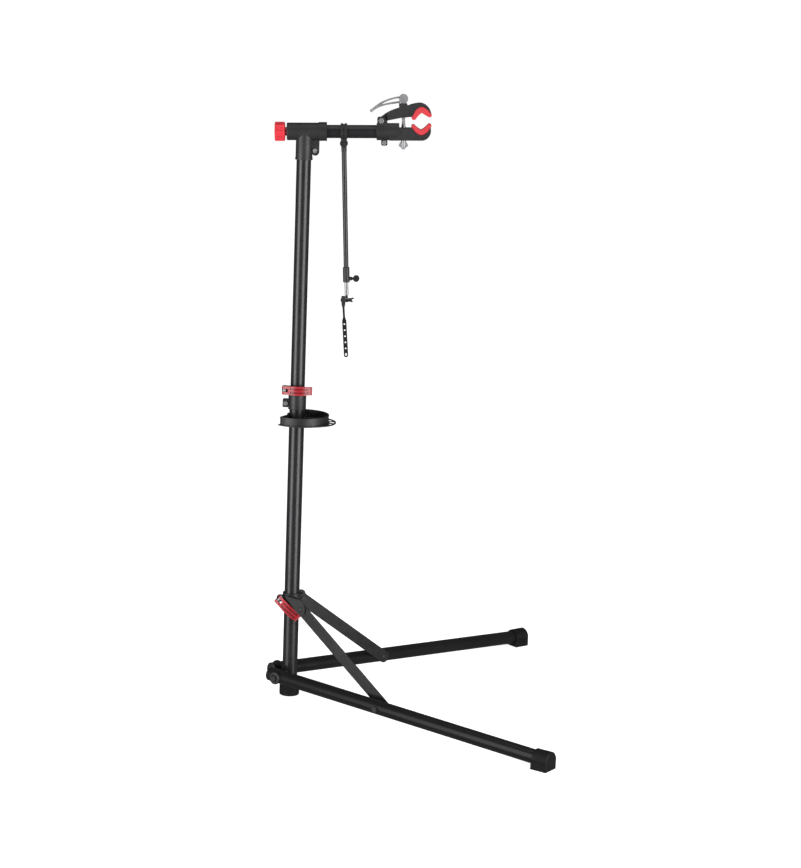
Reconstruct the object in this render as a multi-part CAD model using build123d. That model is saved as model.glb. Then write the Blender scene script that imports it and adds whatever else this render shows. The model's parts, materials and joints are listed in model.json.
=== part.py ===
from build123d import *
import os
from math import atan2, cos, degrees, radians, sin, tan

# Bike repair stand, in millimetres.
# Origin: centre of the base foot's underside, on the ground, on the post's axis.
# +Z is up, +X is the side that the arm and the two legs point to.
# Leg, brace and lug A are on the -Y side. Those of B are their mirror images.

# ---------------------------------------------------------------- driving sizes
# Posts
LOWER_POST_R = 19.0
LOWER_POST_BORE_R = 18.0
LOWER_POST_TOP_Z = 775.0
UPPER_POST_R = 17.8
UPPER_POST_BORE_R = 16.6
UPPER_POST_BOTTOM_Z = 610.0
UPPER_POST_TOP_Z = 1398.0

# Base foot
BASE_FOOT_R = 25.2
BASE_FOOT_TOP_Z = 42.0
BASE_FOOT_FLOOR = 8.0
BASE_FOOT_FLUTES = 24
BASE_SPIGOT_TOP_Z = 80.0

# Legs
LEG_SPREAD = 36.5
LEG_SLOPE = 2.37
LEG_OFFSET = 43.9
LEG_HEIGHT_AT_POST = 56.1
LEG_R = 17.5
LEG_BORE_R = 16.3
LEG_REAR = -26.5
LEG_FRONT = 808.0
LEG_PIVOT_S = 2.0

# Foot caps
FOOT_REAR = 775.0
FOOT_FRONT = 817.0
FOOT_R = 22.8
FOOT_SKIRT_HEIGHT = 17.0
FOOT_GROOVE_HEIGHTS = (3.6, 8.2, 12.8, 17.4, 22.0)

# Braces
BRACE_WIDTH = 30.5
BRACE_INNER_OFFSET = 23.0
BRACE_THICK = 3.0
BRACE_TOP_S = 51.0
BRACE_TOP_Z = 237.3
BRACE_FOOT_S = 317.0
BRACE_END = 12.0

# Slider collar on the lower post
SLIDER_R = 22.3
SLIDER_BORE_R = 19.08
SLIDER_BOTTOM_Z = 222.0
SLIDER_TOP_Z = 268.0
SLIDER_BOLT_Z = 251.5
SLIDER_LEVER_TILT = 43.0

# Height clamp on top of the lower post
CLAMP_R = 22.2
CLAMP_BOTTOM_Z = 739.0
CLAMP_TOP_Z = 792.0
CLAMP_BOLT_Z = 789.0
FIXING_BOLT_X = -28.5
FIXING_BOLT_Z = 754.0
FIXING_BOLT_EAR = 8.0

# Quick release bolts and levers, the same on both clamps
QR_X = -31.5
QR_BARREL_Y = -16.0
QR_BARREL_R = 5.0
QR_EYE_R = 6.9
QR_BOLT_R = 3.0
LEVER_HEIGHT = 22.4
LEVER_END_HEIGHT = 19.5
EAR_FACE_Y = 9.0
EAR_R = 7.2
EAR_GAP = 1.5

# Tool tray
TRAY_BOTTOM_Z = 705.5
TRAY_HEIGHT = 21.5
TRAY_TURN = -26.0
TRAY_WALL_R = 69.0
TRAY_WALL_AT = (10.0, 4.0)
TRAY_CHORD_X = -14.3
TRAY_FLANGE_R = 70.0
TRAY_FLANGE_AT = (24.0, 15.0)
TRAY_LIP = 4.0
TRAY_THICK = 2.4
TRAY_HUB_R = 23.4
TRAY_HUB_HEIGHT = 12.0
TRAY_BORE_R = 19.1

# Tee fitting, arm and knob: t runs along the arm from the post's axis, w is square to it
ARM_HEIGHT = 1425.1
ARM_RISE = 1.85
ARM_R = 16.0
ARM_BORE_R = 14.5
ARM_REAR = -36.0
ARM_FRONT = 214.0
TEE_R = 21.25
TEE_REAR = -43.2
TEE_FRONT = 54.1
TEE_BAND_R = 22.75
TEE_BAND_LENGTH = 20.0
TEE_SLEEVE_R = 20.6
TEE_SLEEVE_BOTTOM_Z = 1357.0
TEE_WALL = 5.7
PINCH_BOLT_X = 26.5
PINCH_BOLT_Z = 1379.7
KNOB_R = 23.3
KNOB_REAR = -72.4
KNOB_FRONT = -47.6
KNOB_NECK_R = 10.4
KNOB_SCREW_R = 5.0

# Bike clamp
HEAD_R = 20.7
HEAD_REAR = 174.7
JAW_HALF_WIDTH = 17.0
JAW_PIVOT_T = 186.3
JAW_PIVOT_W = 27.0
PAD_HALF_WIDTH = 15.5
# Pads in the arm's frame, (t, w): the back from the outer tip inwards, the front from inside out
LOWER_PAD_BACK = [(306.2, 11.2), (301.7, 2.8), (292.1, -5.6), (282.5, -8.8), (272.7, -4.5),
                  (265.4, 2.7), (260.2, 9.9)]
LOWER_PAD_FRONT = [(267.8, 15.9), (275.1, 9.4), (280.6, 6.6), (282.4, 4.8), (284.4, 6.2),
                   (288.4, 8.0), (294.4, 13.6), (300.6, 19.4)]
UPPER_PAD_BACK = [(306.2, 45.2), (300.6, 52.2), (291.8, 58.8), (283.2, 61.4), (275.2, 58.8),
                  (267.8, 51.6), (259.8, 36.6)]
UPPER_PAD_FRONT = [(270.1, 31.5), (276.1, 39.7), (281.6, 44.2), (283.8, 46.4), (286.2, 44.4),
                   (291.9, 41.0), (301.6, 35.4)]
ROD_T = 240.0
CLAMP_ROD_R = 4.0
CAM_W = 79.3
CAM_R = 11.2
HEAD_BOLT_T = 193.5
HEAD_BOLT_W = -26.5

# Handlebar rod
CLIP_T = 95.3
CLIP_WIDTH = 15.5
CLIP_R = 20.0
KNUCKLE_W = -28.4
KNUCKLE_R = 9.7
ROD_LEAN = 0.95
ROD_TUBE_R = 6.0
ROD_TUBE_BORE_R = 5.0
INNER_ROD_R = 4.5
ROD_TUBE_TOP = -21.6
ROD_TUBE_BOTTOM = -325.0
SLEEVE_R = 8.2
SLEEVE_TOP = -302.6
SLEEVE_BOTTOM = -339.6
THUMB_SCREW_Y = -331.0
HOLDER_Y = -383.8
STRAP_LEAN = 2.0

# Fits and metal thicknesses
RUN = 0.06
GAP = 0.1
M8_R = 4.0
M6_R = 3.0

WORLD = Location((0, 0, 0))
SPREAD = radians(LEG_SPREAD)
# Leg plane A. Local x is s, along the ground towards the foot. Local y is up.
# Local z is the distance out from the post's axis.
LEG_PLANE = Plane(
    origin=(0, 0, 0),
    x_dir=(cos(SPREAD), -sin(SPREAD), 0),
    z_dir=(-sin(SPREAD), -cos(SPREAD), 0),
)
LEG = LEG_PLANE.location
# Arm frame. Local x is t, local y is w and local z points to -Y.
RISE = radians(ARM_RISE)
ARM_PLANE = Plane(origin=(0, 0, ARM_HEIGHT), x_dir=(cos(RISE), 0, sin(RISE)), z_dir=(0, -1, 0))
ARM = ARM_PLANE.location
# Handlebar rod frame, at the knuckle, with local y up the rod.
ROD = ARM * Pos(CLIP_T, KNUCKLE_W, 0) * Rot(0, 0, ROD_LEAN)

TURN = {"x": Rot(0, 90, 0), "y": Rot(-90, 0, 0), "z": Rot(0, 0, 0)}
BASE = (Align.CENTER, Align.CENTER, Align.MIN)


# ---------------------------------------------------------------- shared shapes
def bar(frame, start, axis, radius, length):
    """Round bar from start along one axis of the frame; a negative length runs backwards."""
    x, y, z = start
    step = {"x": (length, 0, 0), "y": (0, length, 0), "z": (0, 0, length)}[axis]
    if length < 0:
        x, y, z = x + step[0], y + step[1], z + step[2]
    return frame * Pos(x, y, z) * TURN[axis] * Cylinder(radius, abs(length), align=BASE)


def pipe(frame, start, axis, radius, bore, length):
    """Round tube from start along one axis of the frame."""
    return bar(frame, start, axis, radius, length) - bar(frame, start, axis, bore, length)


def hex_bar(frame, start, axis, across_flats, length):
    """Hexagonal bar, as a bolt head or a nut."""
    x, y, z = start
    step = {"x": (length, 0, 0), "y": (0, length, 0), "z": (0, 0, length)}[axis]
    if length < 0:
        x, y, z = x + step[0], y + step[1], z + step[2]
    hexagon = RegularPolygon(across_flats / 2, 6, major_radius=False)
    return frame * Pos(x, y, z) * TURN[axis] * extrude(hexagon, abs(length))


def hex_bolt(frame, start, axis, radius, length, across_flats, head):
    """Bolt whose shank runs from start for length, with its head behind start."""
    back = -head if length > 0 else head
    shank = bar(frame, start, axis, radius, length)
    cap = hex_bar(frame, start, axis, across_flats, back)
    x, y, z = start
    rounding = Sphere(across_flats * 0.93)
    shift = {"x": (back * 0.5, 0, 0), "y": (0, back * 0.5, 0), "z": (0, 0, back * 0.5)}[axis]
    inward = across_flats * 0.45 * (1 if length > 0 else -1)
    pull = {"x": (inward, 0, 0), "y": (0, inward, 0), "z": (0, 0, inward)}[axis]
    centre = Pos(x + shift[0] + pull[0], y + shift[1] + pull[1], z + shift[2] + pull[2])
    return shank + (cap & (frame * centre * rounding))


def hex_nut(frame, start, axis, bore, across_flats, length):
    """Nut that begins at start and runs along the axis."""
    return hex_bar(frame, start, axis, across_flats, length) - bar(frame, start, axis, bore, length)


def plate(frame, outline, start, thickness):
    """Flat plate: an outline in the frame's xy plane, from z = start, thick along +z."""
    return frame * Pos(0, 0, start) * extrude(outline, thickness)


def mirrored(shape):
    """The same part on the other side of the stand."""
    return mirror(shape, about=Plane.XZ)


def polygon(points):
    """Face with straight sides through the points."""
    return make_face(Polyline(*points, close=True))


def lines(points):
    """Straight edges from each point to the next."""
    return [Line(first, second) for first, second in zip(points, points[1:])]


def hull_plate(circles):
    """Face that wraps circles given as (x, y, radius)."""
    discs = [Pos(x, y) * Circle(radius) for x, y, radius in circles]
    return make_hull([edge for disc in discs for edge in disc.edges()])


def leg_z(s):
    """Height of the leg's axis at distance s from the post."""
    return LEG_HEIGHT_AT_POST - s * tan(radians(LEG_SLOPE))


# Leg frame: origin on the leg's axis beside the post, local x along the leg.
LEG_AXIS = LEG * Pos(0, LEG_HEIGHT_AT_POST, LEG_OFFSET) * Rot(0, 0, -LEG_SLOPE)
LEG_PIVOT_Z = leg_z(LEG_PIVOT_S)
BRACE_FOOT_Z = leg_z(BRACE_FOOT_S)
BRACE_ANGLE = degrees(atan2(BRACE_FOOT_Z - BRACE_TOP_Z, BRACE_FOOT_S - BRACE_TOP_S))


# ---------------------------------------------------------------- base
def lower_post():
    post = pipe(WORLD, (0, 0, BASE_FOOT_FLOOR + GAP), "z", LOWER_POST_R, LOWER_POST_BORE_R,
                LOWER_POST_TOP_Z - BASE_FOOT_FLOOR - GAP)
    pivot_hole = bar(LEG, (LEG_PIVOT_S, LEG_PIVOT_Z, 8), "z", M8_R + GAP, 16)
    return post - pivot_hole - mirrored(pivot_hole)


def base_foot():
    """Moulded foot: a fluted cup round the post's end and a spigot inside it."""
    cup = bar(WORLD, (0, 0, 0), "z", BASE_FOOT_R, BASE_FOOT_TOP_Z)
    cup = chamfer(cup.edges().group_by(Axis.Z)[0], 1.5)
    cup = fillet(cup.edges().group_by(Axis.Z)[-1], 2.0)
    for flute in PolarLocations(BASE_FOOT_R, BASE_FOOT_FLUTES):
        cup -= Pos(0, 0, BASE_FOOT_TOP_Z / 2) * flute * Box(1.8, 2.2, BASE_FOOT_TOP_Z - 9)
    cup -= bar(WORLD, (0, 0, BASE_FOOT_FLOOR), "z", LOWER_POST_R + GAP / 2, 60)
    spigot = bar(WORLD, (0, 0, BASE_FOOT_FLOOR), "z", LOWER_POST_BORE_R - GAP / 2,
                 BASE_SPIGOT_TOP_Z - BASE_FOOT_FLOOR)
    foot = cup + spigot
    thread = bar(LEG, (LEG_PIVOT_S, LEG_PIVOT_Z, 6.6), "z", M8_R + 0.02, 14)
    return foot - thread - mirrored(thread)


def leg_bracket():
    """Bent strap behind the post whose two wings carry the leg pivots."""
    bottom, height, back_height = BASE_FOOT_TOP_Z + GAP, 25.0, 37.0
    inner, outer = LOWER_POST_R + GAP / 2, 22.0
    ring = pipe(WORLD, (0, 0, bottom), "z", outer, inner, back_height)
    wedge = polygon([(0, 0), (-60, 60 * tan(radians(90 - LEG_SPREAD))),
                     (-60, -60 * tan(radians(90 - LEG_SPREAD)))])
    back = ring & plate(WORLD, wedge, bottom, back_height)
    top = bottom + height
    corners = [(1, bottom + 1, 1), (1, top - 1, 1), (8, bottom + 7, 7), (8, top - 7, 7)]
    outline = hull_plate(corners) + Pos(1, bottom + height / 2) * Rectangle(2, height)
    wing = plate(LEG, outline, inner, outer - inner)
    hole = bar(LEG, (LEG_PIVOT_S, LEG_PIVOT_Z, 15), "z", M8_R + GAP, 10)
    return back + wing + mirrored(wing) - hole - mirrored(hole)


def leg_pivot_bolts():
    bolt = hex_bolt(LEG, (LEG_PIVOT_S, LEG_PIVOT_Z, 64.3), "z", M8_R, -57.5, 13, 5.5)
    return Compound(children=[bolt, mirrored(bolt)])


def leg_pivot_washers():
    """Thick cup washers outside the legs, sunk in the middle for the pivot bolts' heads."""
    start = LEG_OFFSET + LEG_R + GAP
    washer = bar(LEG, (LEG_PIVOT_S, LEG_PIVOT_Z, start), "z", 16, 5.5)
    rim = washer.edges().sort_by(lambda e: -e.center().dot(LEG_PLANE.z_dir))[0]
    washer = fillet(rim, 3.0)
    washer -= bar(LEG, (LEG_PIVOT_S, LEG_PIVOT_Z, 64.2), "z", 9, 10)
    washer -= bar(LEG, (LEG_PIVOT_S, LEG_PIVOT_Z, start - 1), "z", M8_R + GAP, 10)
    return Compound(children=[washer, mirrored(washer)])


def leg_pivot_spacers():
    """Bushes between the strap's wings and the legs."""
    length = LEG_OFFSET - LEG_R - 22.0 - GAP
    bush = pipe(LEG, (LEG_PIVOT_S, LEG_PIVOT_Z, 22.02), "z", 9, M8_R + GAP, length)
    return Compound(children=[bush, mirrored(bush)])


# ---------------------------------------------------------------- legs
def leg_tube():
    tube = pipe(LEG_AXIS, (LEG_REAR, 0, 0), "x", LEG_R, LEG_BORE_R, LEG_FRONT - LEG_REAR)
    for s, z in ((LEG_PIVOT_S, LEG_PIVOT_Z), (BRACE_FOOT_S, BRACE_FOOT_Z)):
        tube -= bar(LEG, (s, z, 20), "z", M8_R + GAP, 50)
    return tube


def leg_end_plug():
    """Push-in plug at the leg's rear end."""
    cap = bar(LEG_AXIS, (LEG_REAR - GAP / 2, 0, 0), "x", LEG_R, -3.5)
    far = cap.edges().sort_by(lambda e: e.center().dot(LEG_PLANE.x_dir))[0]
    cap = fillet(far, 2.5)
    return cap + pipe(LEG_AXIS, (LEG_REAR - GAP / 2, 0, 0), "x", LEG_BORE_R - GAP / 2, 13, 14)


def foot_cap():
    """Rubber cap: arched over the leg's end, with a grooved skirt that stands on the ground."""
    length = FOOT_FRONT - FOOT_REAR
    arch = Circle(FOOT_R) + Pos(0, -FOOT_R / 2) * Rectangle(2 * FOOT_R - 1.6, FOOT_R)
    skirt = Rectangle(2 * FOOT_R - 0.8, FOOT_SKIRT_HEIGHT)
    across = Plane(origin=(0, 0, 0), x_dir=(0, 0, -1), z_dir=(1, 0, 0)).location
    body = LEG * Pos(FOOT_REAR, FOOT_R, LEG_OFFSET) * across * extrude(arch, length)
    front = body.faces().sort_by(lambda f: -f.center().dot(LEG_PLANE.x_dir))[0]
    body = chamfer(front.edges(), 2.5)
    low = LEG * Pos(FOOT_REAR - 2, FOOT_SKIRT_HEIGHT / 2, LEG_OFFSET) * across
    cap = body + low * extrude(skirt, length + 0.5)
    cap -= bar(LEG_AXIS, (FOOT_REAR - 30, 0, 0), "x", LEG_R + 0.02, LEG_FRONT + GAP - FOOT_REAR + 30)
    for height in FOOT_GROOVE_HEIGHTS:
        for side in (1, -1):
            place = Pos((FOOT_REAR + FOOT_FRONT) / 2, height, LEG_OFFSET + side * FOOT_R)
            cap -= LEG * place * Box(length + 20, 1.8, 3.2)
    return cap


def brace_bolt():
    """Bolt through the leg at the brace's lower end, seen as a hex head outside the leg."""
    head = LEG_OFFSET + LEG_R + 0.3
    inner = LEG_OFFSET - LEG_R + 0.05
    return hex_bolt(LEG, (BRACE_FOOT_S, BRACE_FOOT_Z, head), "z", M8_R, inner - head, 13, 5)


# ---------------------------------------------------------------- braces
def brace():
    """Flat steel bar, square at the top and rounded at the foot."""
    length = ((BRACE_FOOT_S - BRACE_TOP_S) ** 2 + (BRACE_FOOT_Z - BRACE_TOP_Z) ** 2) ** 0.5
    half = BRACE_WIDTH / 2
    outline = Pos((length - BRACE_END) / 2, 0) * Rectangle(length + BRACE_END, BRACE_WIDTH)
    outline += Pos(length, 0) * Circle(half)
    outline -= Circle(M8_R + RUN) + Pos(length, 0) * Circle(M8_R + RUN)
    frame = LEG * Pos(BRACE_TOP_S, BRACE_TOP_Z, BRACE_INNER_OFFSET) * Rot(0, 0, BRACE_ANGLE)
    return frame * extrude(outline, BRACE_THICK)


def brace_pin():
    """Inner half of the lower joint: a domed rivet head and its shank in the brace."""
    shank = bar(LEG, (BRACE_FOOT_S, BRACE_FOOT_Z, BRACE_INNER_OFFSET - 0.1), "z", M8_R,
                BRACE_THICK + 0.35)
    head = bar(LEG, (BRACE_FOOT_S, BRACE_FOOT_Z, BRACE_INNER_OFFSET - GAP / 2), "z", 7.5, -3.2)
    inner = head.edges().sort_by(lambda e: e.center().dot(LEG_PLANE.z_dir))[0]
    return fillet(inner, 2.2) + shank


def brace_top_rivets():
    """Rivets that hang the braces in the slider's lugs."""
    inner = BRACE_INNER_OFFSET - GAP
    outer = 29.8 + GAP
    shank = bar(LEG, (BRACE_TOP_S, BRACE_TOP_Z, inner), "z", M8_R, outer - inner)
    inner_head = bar(LEG, (BRACE_TOP_S, BRACE_TOP_Z, inner), "z", 7, -2.6)
    outer_head = bar(LEG, (BRACE_TOP_S, BRACE_TOP_Z, outer), "z", 6.5, 2.4)
    rim = outer_head.edges().sort_by(lambda e: -e.center().dot(LEG_PLANE.z_dir))[0]
    rivet = shank + inner_head + fillet(rim, 1.6)
    return Compound(children=[rivet, mirrored(rivet)])


# ---------------------------------------------------------------- quick release parts
def qr_frame(z, tilt):
    """Frame of a quick release: origin on its bolt's axis, turned about that bolt by tilt."""
    return Pos(QR_X, 0, z) * Rot(0, tilt, 0)


def clamp_ears(z):
    """Two ears behind a split collar, rounded about the quick release bolt."""
    outline = Pos(QR_X, 0) * Circle(EAR_R) + Pos(QR_X / 2 - 9, 0) * Rectangle(-QR_X - 18, 2 * EAR_R)
    ear = Pos(0, EAR_FACE_Y, z) * Rot(90, 0, 0) * extrude(outline, EAR_FACE_Y - EAR_GAP)
    return ear + mirrored(ear)


def qr_bolt(z):
    """Bolt across the ears, with its round head on the far side and its thread in the barrel."""
    frame = qr_frame(z, 0)
    shank = bar(frame, (0, EAR_FACE_Y + 1.4, 0), "y", QR_BOLT_R, QR_BARREL_Y - EAR_FACE_Y + 0.6)
    head = bar(frame, (0, EAR_FACE_Y + GAP, 0), "y", 5.4, 5)
    head = fillet(head.edges().sort_by(Axis.Y)[-1], 1.5)
    return shank + head


def qr_barrel(z, tilt):
    """Cross barrel that the lever turns on."""
    frame = qr_frame(z, tilt)
    barrel = bar(frame, (0, QR_BARREL_Y, -11.8), "z", QR_BARREL_R, 23.6)
    return barrel - bar(frame, (0, QR_BARREL_Y - 2, 0), "y", QR_BOLT_R + 0.02, 12)


def qr_lever(z, tilt):
    """Lever wrapped round the collar: a forked eye, then a grooved blade with a lip at its tip."""
    outer = [(-4, -5.2), (6, -9.3), (14, -11.6), (28, -15.4), (40, -15.9), (50, -14.0), (59, -10.6),
             (67.5, -7.2)]
    inner = [(67.5, -1.4), (59, -4.6), (50, -7.9), (40, -9.8), (28, -9.4), (15, -5.8), (5, -0.6)]
    blade = make_face(Wire([Spline(*outer), Line(outer[-1], inner[0]), Spline(*inner),
                            Line(inner[-1], outer[0])]))
    lip = Pos(66.6, -7.6) * Circle(1.9)
    lever = extrude(blade + lip + Circle(QR_EYE_R), LEVER_HEIGHT / 2, both=True)
    side = [(-8, LEVER_END_HEIGHT / 2), (14, LEVER_HEIGHT / 2 - 0.3), (34, LEVER_HEIGHT / 2),
            (54, LEVER_HEIGHT / 2 - 0.5), (70, LEVER_END_HEIGHT / 2)]
    lever &= Rot(90, 0, 0) * extrude(polygon(side + [(x, -y) for x, y in side[::-1]]), 40, both=True)
    lever -= bar(WORLD, (0, 0, -15), "z", QR_BARREL_R + RUN, 30)
    lever -= Box(20.5, 20, 8.4)
    low = [(x, y - 3) for x, y in outer[2:-1]]
    high = [(x, y + 2.2) for x, y in outer[2:-1]]
    groove = make_face(Wire([Spline(*low), Line(low[-1], high[-1]), Spline(*high[::-1]),
                             Line(high[0], low[0])]))
    for centre in (4.6, -4.6):
        lever -= Pos(0, 0, centre) * extrude(groove, 2.0, both=True)
    return qr_frame(z, tilt) * Pos(0, QR_BARREL_Y, 0) * lever


# ---------------------------------------------------------------- slider
def brace_lug():
    """Lug A of the slider: a thick root on the collar and an outer cheek over the brace's end."""
    root = hull_plate([(4, 262, 3), (27.5, 257, 3), (27.5, 244, 3), (12, 256, 3)])
    lug = plate(LEG, root, 12, 17.8)
    cheek = hull_plate([(12, 260, 3), (22, 250, 3), (48, 250, 12), (BRACE_TOP_S, BRACE_TOP_Z, 14.5)])
    lug += plate(LEG, cheek, 26.3, 3.5)
    return lug - bar(LEG, (BRACE_TOP_S, BRACE_TOP_Z, 20), "z", M8_R + 0.02, 15)


def slider_collar():
    height = SLIDER_TOP_Z - SLIDER_BOTTOM_Z
    collar = bar(WORLD, (0, 0, SLIDER_BOTTOM_Z), "z", SLIDER_R, height)
    collar += bar(WORLD, (0, 0, SLIDER_TOP_Z - 6), "z", SLIDER_R + 1.0, 6)
    collar += bar(WORLD, (0, 0, SLIDER_BOTTOM_Z), "z", SLIDER_R + 0.8, 4)
    collar = fillet(collar.edges().group_by(Axis.Z)[-1], 0.8)
    lug = brace_lug()
    collar += clamp_ears(SLIDER_BOLT_Z) + lug + mirrored(lug)
    collar -= bar(WORLD, (0, 0, SLIDER_BOTTOM_Z - 5), "z", SLIDER_BORE_R, height + 10)
    collar -= Pos(-30, 0, (SLIDER_TOP_Z + SLIDER_BOTTOM_Z) / 2) * Box(40, 2 * EAR_GAP, height + 10)
    return collar - bar(qr_frame(SLIDER_BOLT_Z, 0), (0, 20, 0), "y", QR_BOLT_R + GAP, -40)


# ---------------------------------------------------------------- height clamp
def height_clamp():
    height = CLAMP_TOP_Z - CLAMP_BOTTOM_Z
    collar = bar(WORLD, (0, 0, CLAMP_BOTTOM_Z), "z", CLAMP_R, height)
    collar += bar(WORLD, (0, 0, CLAMP_TOP_Z - 2.4), "z", CLAMP_R + 0.9, 2.4)
    collar = fillet(collar.edges().group_by(Axis.Z)[-1], 0.6)
    collar = fillet(collar.edges().group_by(Axis.Z)[0], 1.0)
    ear = extrude(RectangleRounded(22, 20, 3), FIXING_BOLT_EAR - EAR_GAP)
    ear = Pos(-25, FIXING_BOLT_EAR, FIXING_BOLT_Z) * Rot(90, 0, 0) * ear
    collar += clamp_ears(CLAMP_BOLT_Z) + ear + mirrored(ear)
    collar -= bar(WORLD, (0, 0, CLAMP_BOTTOM_Z - 1), "z", LOWER_POST_R + 0.03,
                  LOWER_POST_TOP_Z + GAP - CLAMP_BOTTOM_Z + 1)
    collar -= bar(WORLD, (0, 0, LOWER_POST_TOP_Z - 1), "z", UPPER_POST_R + RUN, 30)
    collar -= Pos(-30, 0, (CLAMP_TOP_Z + CLAMP_BOTTOM_Z) / 2) * Box(40, 2 * EAR_GAP, height + 10)
    collar -= bar(qr_frame(CLAMP_BOLT_Z, 0), (0, 20, 0), "y", QR_BOLT_R + GAP, -40)
    return collar - bar(WORLD, (FIXING_BOLT_X, 20, FIXING_BOLT_Z), "y", M6_R + GAP, -40)


def clamp_fixing_bolt():
    """Hex bolt that pinches the clamp's lower half on the lower post."""
    start = (FIXING_BOLT_X, -FIXING_BOLT_EAR - GAP, FIXING_BOLT_Z)
    return hex_bolt(WORLD, start, "y", M6_R, 2 * FIXING_BOLT_EAR + 8, 10, 4.2)


def clamp_fixing_nut():
    start = (FIXING_BOLT_X, FIXING_BOLT_EAR + GAP, FIXING_BOLT_Z)
    return hex_nut(WORLD, start, "y", M6_R + 0.02, 10, 5)


# ---------------------------------------------------------------- tool tray
def tray_outline(grow):
    """Seen from above: a disc cut off by a chord behind the post, with a bulge round the post."""
    disc = Pos(*TRAY_WALL_AT) * Circle(TRAY_WALL_R + grow)
    kept = Pos(TRAY_CHORD_X - grow + 100, 0) * Rectangle(200, 200)
    return (disc & kept) + Circle(TRAY_HUB_R + grow)


def tool_tray():
    """D-shaped tray with a hub on the post, and a flange ahead of it slotted for tools."""
    flange = Pos(*TRAY_FLANGE_AT) * Circle(TRAY_FLANGE_R)
    base = tray_outline(TRAY_LIP) + (flange & Pos(80, 0) * Rectangle(120, 200))
    tray = extrude(base, TRAY_THICK)
    tray += extrude(tray_outline(0) - tray_outline(-TRAY_THICK), TRAY_HEIGHT)
    rim = tray_outline(0.7) - tray_outline(-TRAY_THICK)
    tray += Pos(0, 0, TRAY_HEIGHT - 3) * extrude(rim, 3)
    tray += extrude(Circle(TRAY_HUB_R) - Circle(TRAY_BORE_R), TRAY_HUB_HEIGHT)
    tray += tray_ribs()
    tray -= bar(WORLD, (0, 0, -1), "z", TRAY_BORE_R, TRAY_HEIGHT + 2)
    return Pos(0, 0, TRAY_BOTTOM_Z) * Rot(0, 0, TRAY_TURN) * (tray - tray_slots())


def tray_ribs():
    """Three upright webs from the hub to the wall."""
    webs = Sketch()
    for angle in (35, -35, 90):
        webs += Rot(0, 0, angle) * Pos(52, 0) * Rectangle(62, 2.2)
    return extrude(webs & tray_outline(-1), TRAY_HUB_HEIGHT)


def tray_slots():
    """Curved slots through the flange, in front of the wall."""
    ring = Pos(*TRAY_FLANGE_AT) * Circle(TRAY_FLANGE_R - 4)
    ring -= Pos(*TRAY_WALL_AT) * Circle(TRAY_WALL_R + 2.6)
    ring &= Rot(0, 0, 36) * polygon([(0, 0), (130, 73), (130, -73)])
    for angle in (20, 36, 52):
        ring -= Rot(0, 0, angle) * Pos(90, 0) * Rectangle(60, 4)
    return Pos(0, 0, -1) * extrude(ring, TRAY_THICK + 2)


# ---------------------------------------------------------------- mast
def guide_bush():
    """Bush that the upper post turns on and that keeps it central in the lower post."""
    flange = bar(WORLD, (0, 0, UPPER_POST_BOTTOM_Z - GAP), "z", LOWER_POST_BORE_R - RUN, -8)
    spigot = bar(WORLD, (0, 0, UPPER_POST_BOTTOM_Z - GAP), "z", UPPER_POST_BORE_R - RUN, 20)
    return flange + spigot - bar(WORLD, (0, 0, UPPER_POST_BOTTOM_Z - 20), "z", 12, 60)


def upper_post():
    return pipe(WORLD, (0, 0, UPPER_POST_BOTTOM_Z), "z", UPPER_POST_R, UPPER_POST_BORE_R,
                UPPER_POST_TOP_Z - UPPER_POST_BOTTOM_Z)


def tee_fitting():
    """Moulded tee: a split sleeve on the post and a turning seat for the arm."""
    body = bar(ARM, (TEE_REAR, 0, 0), "x", TEE_R, TEE_FRONT - TEE_REAR)
    body += bar(ARM, (TEE_FRONT - TEE_BAND_LENGTH, 0, 0), "x", TEE_BAND_R, TEE_BAND_LENGTH)
    body = fillet(body.edges().sort_by(Axis.X)[0], 2.5)
    sleeve_height = ARM_HEIGHT - TEE_SLEEVE_BOTTOM_Z
    body += bar(WORLD, (0, 0, TEE_SLEEVE_BOTTOM_Z), "z", TEE_SLEEVE_R, sleeve_height)
    body += bar(WORLD, (0, 0, TEE_SLEEVE_BOTTOM_Z), "z", TEE_SLEEVE_R + 0.7, 5)
    body += pinch_tabs()
    body -= bar(ARM, (TEE_REAR + TEE_WALL, 0, 0), "x", ARM_R + RUN, 110)
    body -= bar(ARM, (TEE_REAR - 1, 0, 0), "x", KNOB_SCREW_R + 0.4, 20)
    body -= bar(WORLD, (0, 0, TEE_SLEEVE_BOTTOM_Z - 1), "z", UPPER_POST_R + 0.03,
                UPPER_POST_TOP_Z + GAP - TEE_SLEEVE_BOTTOM_Z + 1)
    slit_height = UPPER_POST_TOP_Z - TEE_SLEEVE_BOTTOM_Z
    body -= Pos(30, 0, TEE_SLEEVE_BOTTOM_Z + slit_height / 2 - 1) * Box(30, 2, slit_height + 2)
    return body - bar(WORLD, (PINCH_BOLT_X, 20, PINCH_BOLT_Z), "y", M6_R + GAP, -40)


def pinch_tabs():
    """Tabs in front of the sleeve, rounded at the bottom, that the pinch bolt pulls together."""
    outline = Pos(27.5, 1390) * Rectangle(18.4, 30) + Pos(27.5, 1377) * Circle(9.2)
    return Pos(0, 7.5, 0) * Rot(90, 0, 0) * extrude(outline, 15)


def tee_pinch_bolt():
    start = (PINCH_BOLT_X, -7.5 - GAP, PINCH_BOLT_Z)
    return hex_bolt(WORLD, start, "y", M6_R, 17.5, 10, 4)


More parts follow.
